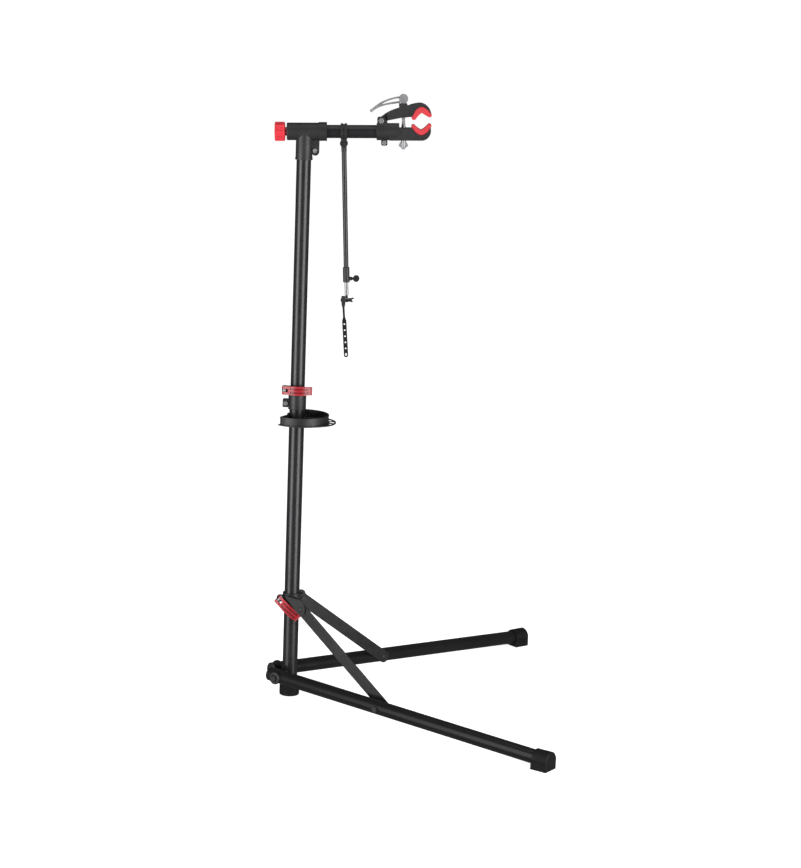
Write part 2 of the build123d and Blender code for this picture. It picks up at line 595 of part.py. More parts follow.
def arm_knob():
    """Lobed knob behind the tee."""
    outline = Circle(20.4)
    for index in range(8):
        outline += Rot(0, 0, index * 45) * Pos(KNOB_R - 4.4, 0) * Circle(4.4)
    grip = ARM * Pos(KNOB_REAR, 0, 0) * TURN["x"] * extrude(outline, KNOB_FRONT - KNOB_REAR)
    ends = grip.faces().sort_by(Axis.X)
    grip = chamfer(ends[0].edges() + ends[-1].edges(), 1.6)
    knob = grip + bar(ARM, (KNOB_FRONT - 2, 0, 0), "x", KNOB_NECK_R, TEE_REAR - KNOB_FRONT + 2 - GAP)
    knob -= bar(ARM, (KNOB_REAR - 1, 0, 0), "x", 12.5, 3)
    return knob - bar(ARM, (-66.05, 0, 0), "x", KNOB_SCREW_R + 0.01, 40)


def knob_screw():
    """Threaded rod fixed in the knob; it pulls the arm's plug against the tee's end wall."""
    return bar(ARM, (-66, 0, 0), "x", KNOB_SCREW_R, 52)


# ---------------------------------------------------------------- arm and bike clamp
def arm_tube():
    return pipe(ARM, (ARM_REAR, 0, 0), "x", ARM_R, ARM_BORE_R, ARM_FRONT - ARM_REAR)


def arm_end_plug():
    """Threaded plug in the arm's rear end, whose flange is the friction face."""
    plug = bar(ARM, (ARM_REAR - GAP / 2, 0, 0), "x", ARM_R, -1.3)
    plug += bar(ARM, (ARM_REAR - GAP / 2, 0, 0), "x", ARM_BORE_R - GAP / 2, 26)
    return plug - bar(ARM, (ARM_REAR - 5, 0, 0), "x", KNOB_SCREW_R + RUN, 28)


def lower_jaw_outline():
    """Side view of the clamp's fixed half, ahead of its round socket."""
    edge = [
        Line((205, -HEAD_R), (286, -HEAD_R)),
        ThreePointArc((286, -HEAD_R), (301.5, -12), (306.6, 3)),
        *lines([(306.6, 3)] + LOWER_PAD_BACK + [(230.4, 9.6)]),
        Line((230.4, 9.6), (229.6, 19.9)),
        Line((229.6, 19.9), (205, 19.9)),
        Line((205, 19.9), (205, -HEAD_R)),
    ]
    return make_face(Wire(edge))


def clamp_body():
    """Fixed half of the bike clamp: socket for the arm, hinge cheeks, lower jaw and bolt tab."""
    socket = bar(ARM, (HEAD_REAR, 0, 0), "x", HEAD_R, 229 - HEAD_REAR)
    socket = fillet(socket.edges().sort_by(Axis.X)[0], 1.5)
    jaw = ARM * extrude(lower_jaw_outline(), JAW_HALF_WIDTH, both=True)
    cheek = hull_plate([(181.4, 30.6, 5), (192, 31.6, 4), (178.4, 12, 2), (204, 12, 2)])
    cheeks = plate(ARM, cheek, 9.1, 6.4) + plate(ARM, cheek, -15.5, 6.4)
    tab = RectangleRounded(15.4, 26, 4)
    tabs = ARM * Pos(HEAD_BOLT_T, -20.6, 0) * extrude(tab, 7, both=True)
    body = socket + jaw + cheeks + tabs
    body -= bar(ARM, (HEAD_REAR - 1, 0, 0), "x", ARM_R + 0.03, ARM_FRONT + GAP - HEAD_REAR + 1)
    body -= plate(ARM, Pos(HEAD_BOLT_T - 4, -25) * Rectangle(34, 22), -1, 2)
    body -= bar(ARM, (HEAD_BOLT_T, HEAD_BOLT_W, -20), "z", M6_R + GAP, 40)
    body -= bar(ARM, (JAW_PIVOT_T, JAW_PIVOT_W, -20), "z", M8_R + RUN, 40)
    body -= bar(ARM, (JAW_PIVOT_T, JAW_PIVOT_W, -9.1), "z", 9.1, 18.2)
    body -= bar(ARM, (ROD_T, -30, 0), "y", CLAMP_ROD_R + 0.4, 60)
    return body


def pad_outline(back, front, right_tip, left_tip):
    """Bent rubber strip: its back lies in the jaw's pocket, its front has a notch at the bend."""
    edge = [
        *lines(back),
        ThreePointArc(back[-1], left_tip, front[0]),
        *lines(front),
        ThreePointArc(front[-1], right_tip, back[0]),
    ]
    return make_face(Wire(edge))


def pad(back, front, right_tip, left_tip, jaw_outline):
    """Pad a little narrower than its jaw and clear of the pocket's wall."""
    strip = ARM * extrude(pad_outline(back, front, right_tip, left_tip), PAD_HALF_WIDTH, both=True)
    return strip - ARM * extrude(offset(jaw_outline, 0.04), JAW_HALF_WIDTH + 1, both=True)


def lower_pad():
    return pad(LOWER_PAD_BACK, LOWER_PAD_FRONT, (307.2, 17.6), (261.0, 17.2), lower_jaw_outline())


def head_bolt():
    """Hex bolt that pinches the clamp's socket on the arm."""
    return hex_bolt(ARM, (HEAD_BOLT_T, HEAD_BOLT_W, 7 + GAP), "z", M6_R, -16.5, 10, 4)


def jaw_pivot_bolt():
    return hex_bolt(ARM, (JAW_PIVOT_T, JAW_PIVOT_W, 15.5 + GAP), "z", M8_R, -39, 12, 4.8)


def jaw_pivot_nut():
    return hex_nut(ARM, (JAW_PIVOT_T, JAW_PIVOT_W, -15.5 - GAP), "z", M8_R + 0.02, 13, -6.5)


def upper_jaw_outline():
    """Side view of the hinged half, from its knuckle to the hook over the upper pad."""
    edge = [
        Spline((186.4, 36.4), (196.2, 43.4), (209.5, 50.4), (229.4, 57.4)),
        Line((229.4, 57.4), (228.8, 67.9)),
        Line((228.8, 67.9), (248.6, 67.9)),
        Line((248.6, 67.9), (250.4, 62.8)),
        ThreePointArc((250.4, 62.8), (266, 67.9), (281.0, 69.8)),
        ThreePointArc((281.0, 69.8), (298.4, 61.4), (307.0, 45.4)),
        *lines([(307.0, 45.4)] + UPPER_PAD_BACK + [(233.0, 33.8)]),
        Line((233.0, 33.8), (203.4, 28.0)),
        Line((203.4, 28.0), (190, 19.6)),
        Line((190, 19.6), (181, 21.6)),
        Line((181, 21.6), (178.6, 30)),
        Line((178.6, 30), (186.4, 36.4)),
    ]
    return make_face(Wire(edge))


def upper_jaw():
    """Hinged half of the bike clamp; the clamp rod runs in a slot so that the jaw can swing."""
    jaw = ARM * extrude(upper_jaw_outline(), JAW_HALF_WIDTH, both=True)
    for start in (9.0, -JAW_HALF_WIDTH - 1):
        jaw -= plate(ARM, Pos(185, 25) * Rectangle(32, 34), start, JAW_HALF_WIDTH - 8)
    jaw -= bar(ARM, (JAW_PIVOT_T, JAW_PIVOT_W, -20), "z", M8_R + RUN, 40)
    slot = Pos(ROD_T + 7, 50) * Rectangle(24, 60)
    return jaw - plate(ARM, slot, -4.6, 9.2)


def upper_pad():
    return pad(UPPER_PAD_BACK, UPPER_PAD_FRONT, (308.0, 38.4), (262.6, 29.4), upper_jaw_outline())


def clamp_rod():
    """Rod through both jaws, with a slotted head for the cam lever."""
    rod = bar(ARM, (ROD_T, -42.5, 0), "y", CLAMP_ROD_R, CAM_W + 42.5)
    head = ARM * Pos(ROD_T, CAM_W, 0) * Box(9, 12, 7)
    seat = ARM * Pos(ROD_T, 10, 0) * TURN["y"] * Cone(5.6, CLAMP_ROD_R, 10, align=BASE)
    return rod + head + seat - bar(ARM, (ROD_T, CAM_W, -8), "z", 3.02, 16)


def cam_pin():
    """Cross pin of the cam lever."""
    return bar(ARM, (ROD_T, CAM_W, -11), "z", 3.0, 22)


def cam_lever():
    """Cast lever: two round cams on the cross pin and a curved open loop lying over the jaw."""
    top = [(232, 85.2), (220, 83.2), (203.4, 78.6), (184.5, 70.6), (170, 60.4), (159.8, 52.0)]
    bottom = [(163.0, 47.4), (174.5, 55.6), (186, 60.8), (203.4, 65.2), (232, 69.6)]
    loop = make_face(Wire([Spline(*top), Line(top[-1], bottom[0]), Spline(*bottom),
                           Line(bottom[-1], top[0])]))
    hole_top = [(230, 80.8), (219, 79.2), (203.6, 74.6), (190, 68.4)]
    hole_bottom = [(190, 66.0), (203.6, 69.4), (217, 71.8), (230, 73.4)]
    window = make_face(Wire([Spline(*hole_top), Line(hole_top[-1], hole_bottom[0]),
                             Spline(*hole_bottom), Line(hole_bottom[-1], hole_top[0])]))
    cam = Pos(ROD_T, CAM_W) * Circle(CAM_R)
    lever = ARM * extrude(cam, 10.5, both=True)
    loop += Pos(161.8, 50.4) * Circle(3.4)
    lever += ARM * extrude(loop - window - Pos(ROD_T, CAM_W) * Circle(CAM_R - 3), 5.5, both=True)
    lever -= ARM * extrude(Pos(ROD_T, CAM_W) * Circle(CAM_R + 0.6), 4.0, both=True)
    return lever - bar(ARM, (ROD_T, CAM_W, -15), "z", 3.0 + RUN, 30)


def wing_nut():
    """Nut under the lower jaw with two short wings."""
    top = -HEAD_R - GAP
    nut = bar(ARM, (ROD_T, top, 0), "y", 6.2, -18.5)
    wing = polygon([(-4.5, 0), (4.5, 0), (11.2, -10.5), (11.2, -14.5), (5.5, -17), (-5.5, -17),
                    (-11.2, -14.5), (-11.2, -10.5)])
    nut += ARM * Pos(ROD_T, top, 0) * extrude(wing, 2.2, both=True)
    return nut - bar(ARM, (ROD_T, -60, 0), "y", CLAMP_ROD_R + RUN, 60)


# ---------------------------------------------------------------- handlebar rod
def rod_clip():
    """Clip on the arm: a grooved band whose ends come down as two cheeks."""
    band = bar(ARM, (CLIP_T - CLIP_WIDTH / 2, 0, 0), "x", CLIP_R, CLIP_WIDTH)
    band -= pipe(ARM, (CLIP_T - 2, 0, 0), "x", CLIP_R + 2, CLIP_R - 1.8, 4)
    cheek = Pos(CLIP_T, KNUCKLE_W) * Circle(KNUCKLE_R) + Pos(CLIP_T, -22) * Rectangle(12.4, 14)
    cheeks = plate(ARM, cheek, 3.7, 4.6) + plate(ARM, cheek, -8.3, 4.6)
    clip = band + cheeks
    clip -= bar(ARM, (CLIP_T - 20, 0, 0), "x", ARM_R + RUN, 40)
    clip -= plate(ARM, Pos(CLIP_T, -18) * Rectangle(20, 22), -1, 2)
    clip -= bar(ARM, (CLIP_T, KNUCKLE_W, -3.7), "z", KNUCKLE_R + 0.2, 7.4)
    return clip - bar(ARM, (CLIP_T, KNUCKLE_W, -15), "z", 2.5 + RUN, 30)


def knuckle_bolt():
    """Bolt that closes the clip's cheeks on the rod's tongue."""
    return hex_bolt(ARM, (CLIP_T, KNUCKLE_W, 8.3 + GAP), "z", 2.5, -17.5, 8, 3.5)


def rod_socket():
    """Tongue between the clip's cheeks that turns into a round socket for the rod's tube."""
    tongue = ROD * extrude(Circle(KNUCKLE_R - 0.1) + Pos(0, -9) * Rectangle(12.6, 12), 3.55,
                           both=True)
    collar = ROD * Pos(0, ROD_TUBE_TOP, 0) * TURN["y"] * Cone(6.3, 6.9, 11, align=BASE)
    spigot = bar(ROD, (0, ROD_TUBE_TOP + 1, 0), "y", ROD_TUBE_BORE_R - GAP / 2, -15)
    socket = tongue + collar + spigot
    return socket - bar(ROD, (0, 0, -15), "z", 2.5 + RUN, 30)


def rod_tube():
    return pipe(ROD, (0, ROD_TUBE_TOP - GAP, 0), "y", ROD_TUBE_R, ROD_TUBE_BORE_R,
                ROD_TUBE_BOTTOM - ROD_TUBE_TOP + GAP)


def rod_sleeve():
    """Clamp sleeve on the tube's lower end, with a boss for the thumb screw."""
    sleeve = bar(ROD, (0, SLEEVE_BOTTOM, 0), "y", SLEEVE_R, SLEEVE_TOP - SLEEVE_BOTTOM)
    sleeve = chamfer(sleeve.edges().sort_by(Axis.Z)[-1], 1.0)
    sleeve += bar(ROD, (4, THUMB_SCREW_Y, 0), "x", 4.9, 7)
    sleeve -= bar(ROD, (0, ROD_TUBE_BOTTOM - GAP, 0), "y", ROD_TUBE_R + 0.03, 60)
    sleeve -= bar(ROD, (0, SLEEVE_BOTTOM - 1, 0), "y", INNER_ROD_R + RUN, 40)
    return sleeve - bar(ROD, (3, THUMB_SCREW_Y, 0), "x", M6_R + RUN, 20)


def rod_thumb_screw():
    """Screw with a flat round head that locks the inner rod."""
    shank = bar(ROD, (INNER_ROD_R + GAP, THUMB_SCREW_Y, 0), "x", M6_R, 14)
    neck = bar(ROD, (11.2, THUMB_SCREW_Y, 0), "x", 4.6, 3)
    disc = ROD * Pos(24.3, THUMB_SCREW_Y, 0) * Rot(0, 30, 0) * Cylinder(8.5, 4)
    disc = fillet(disc.edges().filter_by(GeomType.CIRCLE), 1.2)
    return shank + neck + disc


def inner_rod():
    """Chrome rod that slides in the tube, with an eye at its lower end."""
    rod = bar(ROD, (0, -190, 0), "y", INNER_ROD_R, HOLDER_Y + 190 + 11.8)
    eye = bar(ROD, (-3, HOLDER_Y, 0), "x", 5.6, 6)
    neck = ROD * Pos(0, HOLDER_Y + 6.2, 0) * Box(6, 12.4, 8)
    return rod + eye + neck - bar(ROD, (-10, HOLDER_Y, 0), "x", 2.5 + RUN, 20)


def holder_bolt():
    """Bolt through the strap holder and the inner rod's eye."""
    shank = bar(ROD, (-13.1, HOLDER_Y, 0), "x", 2.5, 26)
    return shank + bar(ROD, (-13.1, HOLDER_Y, 0), "x", 4.2, -1.8)


def strap_holder():
    """Holder beside the rod's eye that the rubber strap hangs from."""
    outline = Pos(-8.2, HOLDER_Y - 1) * RectangleRounded(9.6, 21, 2)
    lower = polygon([(-13, HOLDER_Y - 8), (-3.4, HOLDER_Y - 8), (-4.4, HOLDER_Y - 15),
                     (-6, HOLDER_Y - 19), (-10.4, HOLDER_Y - 19), (-12, HOLDER_Y - 15)])
    holder = ROD * extrude(outline + lower, 6, both=True)
    holder -= bar(ROD, (-20, HOLDER_Y, 0), "x", 2.5 + RUN, 30)
    return holder - strap_frame() * Box(5.4, 9, 3.2)


def strap_frame():
    """Frame of the strap: origin where it enters the holder, local y up the strap."""
    return ROD * Pos(-8.2, HOLDER_Y - 17, 0) * Rot(0, 0, STRAP_LEAN)


def rubber_strap():
    """Soft strap: a narrow neck, then a wide blade with a row of holes."""
    blade = Pos(0, -77) * RectangleRounded(10.6, 98, 5.0)
    neck = Pos(0, -14) * Rectangle(5.2, 36)
    strap = blade + neck
    for index in range(6):
        strap -= Pos(0, -43 - 15.2 * index) * Circle(2.3)
    return strap_frame() * extrude(strap, 1.5, both=True)


def holder_wing_nut():
    """Wing nut that locks the holder's angle."""
    hub = bar(ROD, (3 + GAP, HOLDER_Y, 0), "x", 4.6, 6)
    wing = polygon([(5, 4), (9, 4.2), (17, 6), (17.6, 2.4), (12, 0), (15.2, -3), (13.6, -6.4),
                    (9, -4.4), (5, -4)])
    nut = hub + ROD * Pos(0, HOLDER_Y, 0) * extrude(wing, 1.8, both=True)
    return nut - bar(ROD, (0, HOLDER_Y, 0), "x", 2.5 + RUN, 30)


# ---------------------------------------------------------------- all parts
def build_parts():
    """Every node of the stand, by name."""
    parts = {
        "lower_post": lower_post(),
        "base_foot": base_foot(),
        "leg_bracket": leg_bracket(),
        "leg_pivot_bolts": leg_pivot_bolts(),
        "leg_pivot_washers": leg_pivot_washers(),
        "leg_pivot_spacers": leg_pivot_spacers(),
        "height_clamp": height_clamp(),
        "clamp_fixing_bolt": clamp_fixing_bolt(),
        "clamp_fixing_nut": clamp_fixing_nut(),
        "height_clamp_bolt": qr_bolt(CLAMP_BOLT_Z),
        "height_barrel_nut": qr_barrel(CLAMP_BOLT_Z, 0),
        "height_lever": qr_lever(CLAMP_BOLT_Z, 0),
        "tool_tray": tool_tray(),
        "guide_bush": guide_bush(),
        "upper_post": upper_post(),
        "tee_fitting": tee_fitting(),
        "tee_pinch_bolt": tee_pinch_bolt(),
        "arm_knob": arm_knob(),
        "knob_screw": knob_screw(),
        "arm_tube": arm_tube(),
        "arm_end_plug": arm_end_plug(),
        "clamp_body": clamp_body(),
        "lower_pad": lower_pad(),
        "head_bolt": head_bolt(),
        "jaw_pivot_bolt": jaw_pivot_bolt(),
        "jaw_pivot_nut": jaw_pivot_nut(),
        "upper_jaw": upper_jaw(),
        "upper_pad": upper_pad(),
        "clamp_rod": clamp_rod(),
        "cam_pin": cam_pin(),
        "cam_lever": cam_lever(),
        "wing_nut": wing_nut(),
        "rod_clip": rod_clip(),
        "knuckle_bolt": knuckle_bolt(),
        "rod_socket": rod_socket(),
        "rod_tube": rod_tube(),
        "rod_sleeve": rod_sleeve(),
        "rod_thumb_screw": rod_thumb_screw(),
        "inner_rod": inner_rod(),
        "holder_bolt": holder_bolt(),
        "strap_holder": strap_holder(),
        "rubber_strap": rubber_strap(),
        "holder_wing_nut": holder_wing_nut(),
        "slider_collar": slider_collar(),
        "slider_clamp_bolt": qr_bolt(SLIDER_BOLT_Z),
        "slider_barrel_nut": qr_barrel(SLIDER_BOLT_Z, SLIDER_LEVER_TILT),
        "slider_lever": qr_lever(SLIDER_BOLT_Z, SLIDER_LEVER_TILT),
        "brace_top_rivets": brace_top_rivets(),
    }
    paired = {
        "leg_tube": leg_tube(),
        "leg_end_plug": leg_end_plug(),
        "foot_cap": foot_cap(),
        "brace_bolt": brace_bolt(),
        "brace": brace(),
        "brace_pin": brace_pin(),
    }
    for name, shape in paired.items():
        parts[name + "_a"] = shape
        parts[name + "_b"] = mirrored(shape)
    return parts


os.makedirs("parts", exist_ok=True)
for node, shape in build_parts().items():
    export_step(shape, f"parts/{node}.step")
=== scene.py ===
import bpy
import json
import math
from mathutils import Matrix, Vector

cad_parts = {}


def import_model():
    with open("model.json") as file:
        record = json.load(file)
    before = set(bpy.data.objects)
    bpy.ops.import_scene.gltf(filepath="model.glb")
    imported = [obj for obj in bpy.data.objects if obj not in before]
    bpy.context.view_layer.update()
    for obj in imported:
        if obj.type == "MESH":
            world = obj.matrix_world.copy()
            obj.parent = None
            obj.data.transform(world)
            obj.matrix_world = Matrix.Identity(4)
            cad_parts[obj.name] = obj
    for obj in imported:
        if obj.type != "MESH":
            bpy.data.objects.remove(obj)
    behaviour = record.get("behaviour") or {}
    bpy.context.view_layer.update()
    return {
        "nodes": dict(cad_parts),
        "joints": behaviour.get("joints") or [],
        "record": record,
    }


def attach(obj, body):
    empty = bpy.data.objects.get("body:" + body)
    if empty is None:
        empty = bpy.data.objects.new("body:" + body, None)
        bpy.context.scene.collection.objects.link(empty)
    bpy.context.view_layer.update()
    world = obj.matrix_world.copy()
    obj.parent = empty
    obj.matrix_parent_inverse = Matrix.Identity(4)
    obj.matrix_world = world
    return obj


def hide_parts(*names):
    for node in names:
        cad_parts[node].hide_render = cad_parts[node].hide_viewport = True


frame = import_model()
NODES = frame["nodes"]
JOINTS = {joint["name"]: joint for joint in frame["joints"]}
SLOT_OF = {part["node"]: part["material_slot"] for part in frame["record"]["subparts"]}
MM = 0.001

# Strap and its holder, in millimetres in the handlebar rod's frame
HOLDER_Y = -383.8
STRAP_X = -8.2
STRAP_BELOW_HOLDER = 17
STRAP_LEAN = 2.0
STRAP_HALF_THICKNESS = 1.5
STRAP_HALF_WIDTH = 5.3
STRAP_NECK_HALF_WIDTH = 2.6
STRAP_TOP = 3.5
STRAP_SHOULDER = -24
STRAP_BLADE_TOP = -35.5
STRAP_BLADE_END = -120.7
STRAP_HOLE_R = 2.1
STRAP_HOLE_TOP = -43
STRAP_HOLE_PITCH = 15.2
STRAP_HOLE_COUNT = 5

# Pads of the bike clamp, in millimetres in the arm's frame
PAD_HALF_WIDTH = 15.5
PAD_ROUNDING = 1.5

# Studio, in metres and watts
FLOOR_HALF = 14.0
BOX_SIDE = 2.3
BOX_FRONT = -2.0
BOX_HEIGHT = 0.95
BOX_SIZE = (1.9, 3.3)
BOX_POWER = 108
LEG_BOX_POWER = 30
TOP_PLACE = (0.2, -0.4, 3.4)
TOP_TARGET = (0.1, 0, 0.8)
TOP_SIZE = (2.6, 2.0)
TOP_POWER = 14

# Camera, in metres, radians and millimetres of lens
CAMERA_PLACE = (0.1771765, -5.4389876, 1.7503299)
CAMERA_YAW = -0.0151632
CAMERA_PITCH = 0.1934970
CAMERA_ROLL = -0.0366872
CAMERA_LENS = 92.142


# ------------------------------------------------------------ node helpers
def new_material(name):
    """Empty material with one shader."""
    material = bpy.data.materials.new(name)
    material.use_nodes = True
    tree = material.node_tree
    tree.nodes.clear()
    output = tree.nodes.new("ShaderNodeOutputMaterial")
    shader = tree.nodes.new("ShaderNodeBsdfPrincipled")
    tree.links.new(shader.outputs["BSDF"], output.inputs["Surface"])
    return material, tree, shader


def noise(tree, coords, scale, detail=4.0, rough=0.6):
    """Cloudy noise from 0 to 1; the scale counts features per metre."""
    node = tree.nodes.new("ShaderNodeTexNoise")
    node.inputs["Scale"].default_value = scale
    node.inputs["Detail"].default_value = detail
    node.inputs["Roughness"].default_value = rough
    tree.links.new(coords, node.inputs["Vector"])
    return node.outputs["Fac"]


def stretched(tree, coords, scale):
    """Coordinates stretched along one axis, for brushed or drawn metal."""
    node = tree.nodes.new("ShaderNodeMapping")
    node.inputs["Scale"].default_value = scale
    tree.links.new(coords, node.inputs["Vector"])
    return node.outputs["Vector"]


def ramp(tree, value, low, high, to_low, to_high):
    """Carry a value from one range over to another."""
    node = tree.nodes.new("ShaderNodeMapRange")
    node.inputs["From Min"].default_value = low
    node.inputs["From Max"].default_value = high
    node.inputs["To Min"].default_value = to_low
    node.inputs["To Max"].default_value = to_high
    tree.links.new(value, node.inputs["Value"])
    return node.outputs["Result"]


def arithmetic(tree, operation, first, second):
    """Sum or product of two values, held between 0 and 1."""
    node = tree.nodes.new("ShaderNodeMath")
    node.operation = operation
    node.use_clamp = True
    for slot, value in zip(node.inputs, (first, second)):
        if isinstance(value, (int, float)):
            slot.default_value = value
        else:
            tree.links.new(value, slot)
    return node.outputs["Value"]


def mix_colour(tree, factor, first, second):
    """Blend from the first colour to the second; each is a tuple or a node's output."""
    node = tree.nodes.new("ShaderNodeMix")
    node.data_type = "RGBA"
    tree.links.new(factor, node.inputs["Factor"])
    for slot, value in ((node.inputs["A"], first), (node.inputs["B"], second)):
        if isinstance(value, tuple):
            slot.default_value = (*value, 1.0)
        else:
            tree.links.new(value, slot)
    return node.outputs["Result"]


def edge_mask(tree, rounded):
    """White on sharp outer edges: where the rounded normal leaves the flat one."""
    geometry = tree.nodes.new("ShaderNodeNewGeometry")
    dot = tree.nodes.new("ShaderNodeVectorMath")
    dot.operation = "DOT_PRODUCT"
    tree.links.new(geometry.outputs["Normal"], dot.inputs[0])
    tree.links.new(rounded, dot.inputs[1])
    return ramp(tree, dot.outputs["Value"], 0.995, 0.90, 0.0, 1.0)


def groove_shade_mask(tree, depth):
    """White down in grooves and corners narrower than depth millimetres, where painted shade goes.
    """
    node = tree.nodes.new("ShaderNodeAmbientOcclusion")
    node.samples = 6
    node.only_local = True
    node.inputs["Distance"].default_value = depth * MM
    return ramp(tree, node.outputs["AO"], 0.45, 0.92, 1.0, 0.0)


def bands(tree, coords, direction, pitch):
    """Even ridges across one axis, a pitch in millimetres apart, as of a screw thread."""
    wave = tree.nodes.new("ShaderNodeTexWave")
    wave.bands_direction = direction
    wave.inputs["Scale"].default_value = math.tau / (20.0 * pitch * MM)
    wave.inputs["Distortion"].default_value = 0.0
    tree.links.new(coords, wave.inputs["Vector"])
    return wave.outputs["Fac"]


def finish_material(name, colour, dark, roughness, metallic=0.0, grain=900.0, grain_depth=0.03,
                    mottle=25.0, edge=None, edge_amount=0.5, radius=0.5, brush=None,
                    spread=0.08, specular=0.5, coat=0.0, dust=0.0, thread=None, groove_shade=0.0):
    """One procedural finish: colour drift, uneven gloss, fine grain, rounded and worn edges, painted
    shade in grooves.
    """
    material, tree, shader = new_material(name)
    coords = tree.nodes.new("ShaderNodeTexCoord").outputs["Object"]
    bevel = tree.nodes.new("ShaderNodeBevel")
    bevel.samples = 4
    bevel.inputs["Radius"].default_value = radius * MM
    drift = noise(tree, coords, mottle, 5.0)
    tint = ramp(tree, drift, 0.35, 0.65, 0.0, 1.0)
    base = mix_colour(tree, tint, colour, dark)
    if dust:
        specks = ramp(tree, noise(tree, coords, 160.0, 6.0, 0.75), 0.60, 0.78, 0.0, dust)
        base = mix_colour(tree, specks, base, (0.20, 0.19, 0.18))
    if edge:
        broken = ramp(tree, noise(tree, coords, 220.0, 4.0), 0.42, 0.62, 0.2, 1.0)
        worn = arithmetic(tree, "MULTIPLY", edge_mask(tree, bevel.outputs["Normal"]), broken)
        worn = arithmetic(tree, "MULTIPLY", worn, edge_amount)
        base = mix_colour(tree, worn, base, edge)
    # Painted shade: grooves and corners are darkened in the base colour, towards a quarter of the
    # dark tone.
    if groove_shade:
        painted_groove_shade = arithmetic(tree, "MULTIPLY", groove_shade_mask(tree, 4.0), groove_shade)
        base = mix_colour(tree, painted_groove_shade, base, tuple(0.25 * channel for channel in dark))
    tree.links.new(base, shader.inputs["Base Color"])
    gloss_coords = stretched(tree, coords, brush) if brush else coords
    gloss = noise(tree, gloss_coords, 60.0, 6.0)
    tree.links.new(ramp(tree, gloss, 0.3, 0.7, roughness - spread, roughness + spread),
                   shader.inputs["Roughness"])
    bump = tree.nodes.new("ShaderNodeBump")
    bump.inputs["Strength"].default_value = 0.35
    bump.inputs["Distance"].default_value = grain_depth * MM
    height = noise(tree, gloss_coords, grain, 3.0)
    if thread:
        height = arithmetic(tree, "ADD", ramp(tree, height, 0, 1, 0, 0.1),
                            bands(tree, coords, *thread))
    tree.links.new(height, bump.inputs["Height"])
    tree.links.new(bevel.outputs["Normal"], bump.inputs["Normal"])
    tree.links.new(bump.outputs["Normal"], shader.inputs["Normal"])
    shader.inputs["Metallic"].default_value = metallic
    shader.inputs["Specular IOR Level"].default_value = specular
    shader.inputs["Coat Weight"].default_value = coat
    shader.inputs["Coat Roughness"].default_value = 0.12
    material.diffuse_color = (*colour, 1.0)
    return material


# The red finishes get painted shade in their grooves and corners, darkest on the levers.
FINISHES = {
    "black_paint": finish_material(
        "powder_coat_black", (0.0105, 0.0105, 0.0115), (0.007, 0.007, 0.008), 0.30, grain=1400.0,
        grain_depth=0.008, mottle=12.0, edge=(0.06, 0.06, 0.065), edge_amount=0.4, specular=0.5,
        spread=0.04),
    "black_plastic": finish_material(
        "moulded_plastic_black", (0.012, 0.012, 0.013), (0.009, 0.009, 0.010), 0.46, grain=1700.0,
        grain_depth=0.03, mottle=30.0, edge=(0.06, 0.06, 0.062), edge_amount=0.6, radius=0.7,
        specular=0.45),
    "black_rubber": finish_material(
        "rubber_black", (0.004, 0.004, 0.0045), (0.006, 0.006, 0.006), 0.62, grain=1100.0,
        grain_depth=0.05, mottle=40.0, edge=(0.03, 0.03, 0.03), edge_amount=0.5, radius=0.9,
        specular=0.18, dust=0.012),
    "red_knob": finish_material(
        "plastic_bright_red", (0.52, 0.018, 0.030), (0.44, 0.014, 0.024), 0.38, grain=1500.0,
        grain_depth=0.05, mottle=45.0, edge=(0.86, 0.19, 0.19), edge_amount=0.3, radius=0.8,
        groove_shade=0.75),
    "red_pad": finish_material(
        "rubber_bright_red", (0.42, 0.019, 0.028), (0.36, 0.015, 0.023), 0.50, grain=1300.0,
        grain_depth=0.10, mottle=60.0, edge=(0.80, 0.20, 0.20), edge_amount=0.35, radius=0.9,
        specular=0.4, groove_shade=0.6),
    "red_lever": finish_material(
        "plastic_crimson", (0.28, 0.009, 0.017), (0.22, 0.006, 0.012), 0.30, grain=1300.0,
        grain_depth=0.01, mottle=50.0, edge=(0.60, 0.11, 0.14), edge_amount=0.5, radius=0.6,
        coat=0.15, groove_shade=0.95),
    "zinc_steel": finish_material(
        "zinc_plated_steel", (0.62, 0.62, 0.62), (0.46, 0.46, 0.47), 0.30, metallic=0.88,
        grain=700.0, grain_depth=0.02, mottle=160.0, edge=(0.85, 0.85, 0.85), edge_amount=0.5,
        radius=0.35),
    "black_steel": finish_material(
        "black_zinc_steel", (0.014, 0.014, 0.015), (0.010, 0.010, 0.011), 0.34, grain=900.0,
        grain_depth=0.01, mottle=120.0, edge=(0.12, 0.12, 0.12), edge_amount=0.5, radius=0.4),
    "chrome": finish_material(
        "chrome_plate", (0.28, 0.285, 0.29), (0.23, 0.235, 0.24), 0.10, metallic=1.0, grain=400.0,
        grain_depth=0.006, mottle=20.0, brush=(1.0, 1.0, 0.05), spread=0.04, radius=0.3),
    "cast_grey": finish_material(
        "cast_metal_grey", (0.30, 0.30, 0.31), (0.22, 0.22, 0.23), 0.40, metallic=0.6,
        grain=500.0, grain_depth=0.09, mottle=90.0, edge=(0.62, 0.62, 0.63), edge_amount=0.6,
        radius=0.6),
}
THREADED = finish_material(
    "zinc_plated_thread", (0.24, 0.24, 0.245), (0.17, 0.17, 0.175), 0.24, metallic=0.95,
    grain=700.0, grain_depth=0.15, mottle=160.0, edge=(0.70, 0.70, 0.70), edge_amount=0.4,
    radius=0.3, thread=("Z", 1.25))
DULL_ZINC = finish_material(
    "dull_zinc_steel", (0.26, 0.26, 0.265), (0.18, 0.18, 0.185), 0.42, metallic=0.8,
    grain=700.0, grain_depth=0.02, mottle=160.0, edge=(0.6, 0.6, 0.6), edge_amount=0.5,
    radius=0.35)
OWN_FINISH = {"clamp_rod": THREADED, "height_barrel_nut": DULL_ZINC,
              "slider_barrel_nut": DULL_ZINC, "base_foot": FINISHES["black_rubber"],
              "rod_thumb_screw": FINISHES["black_rubber"]}
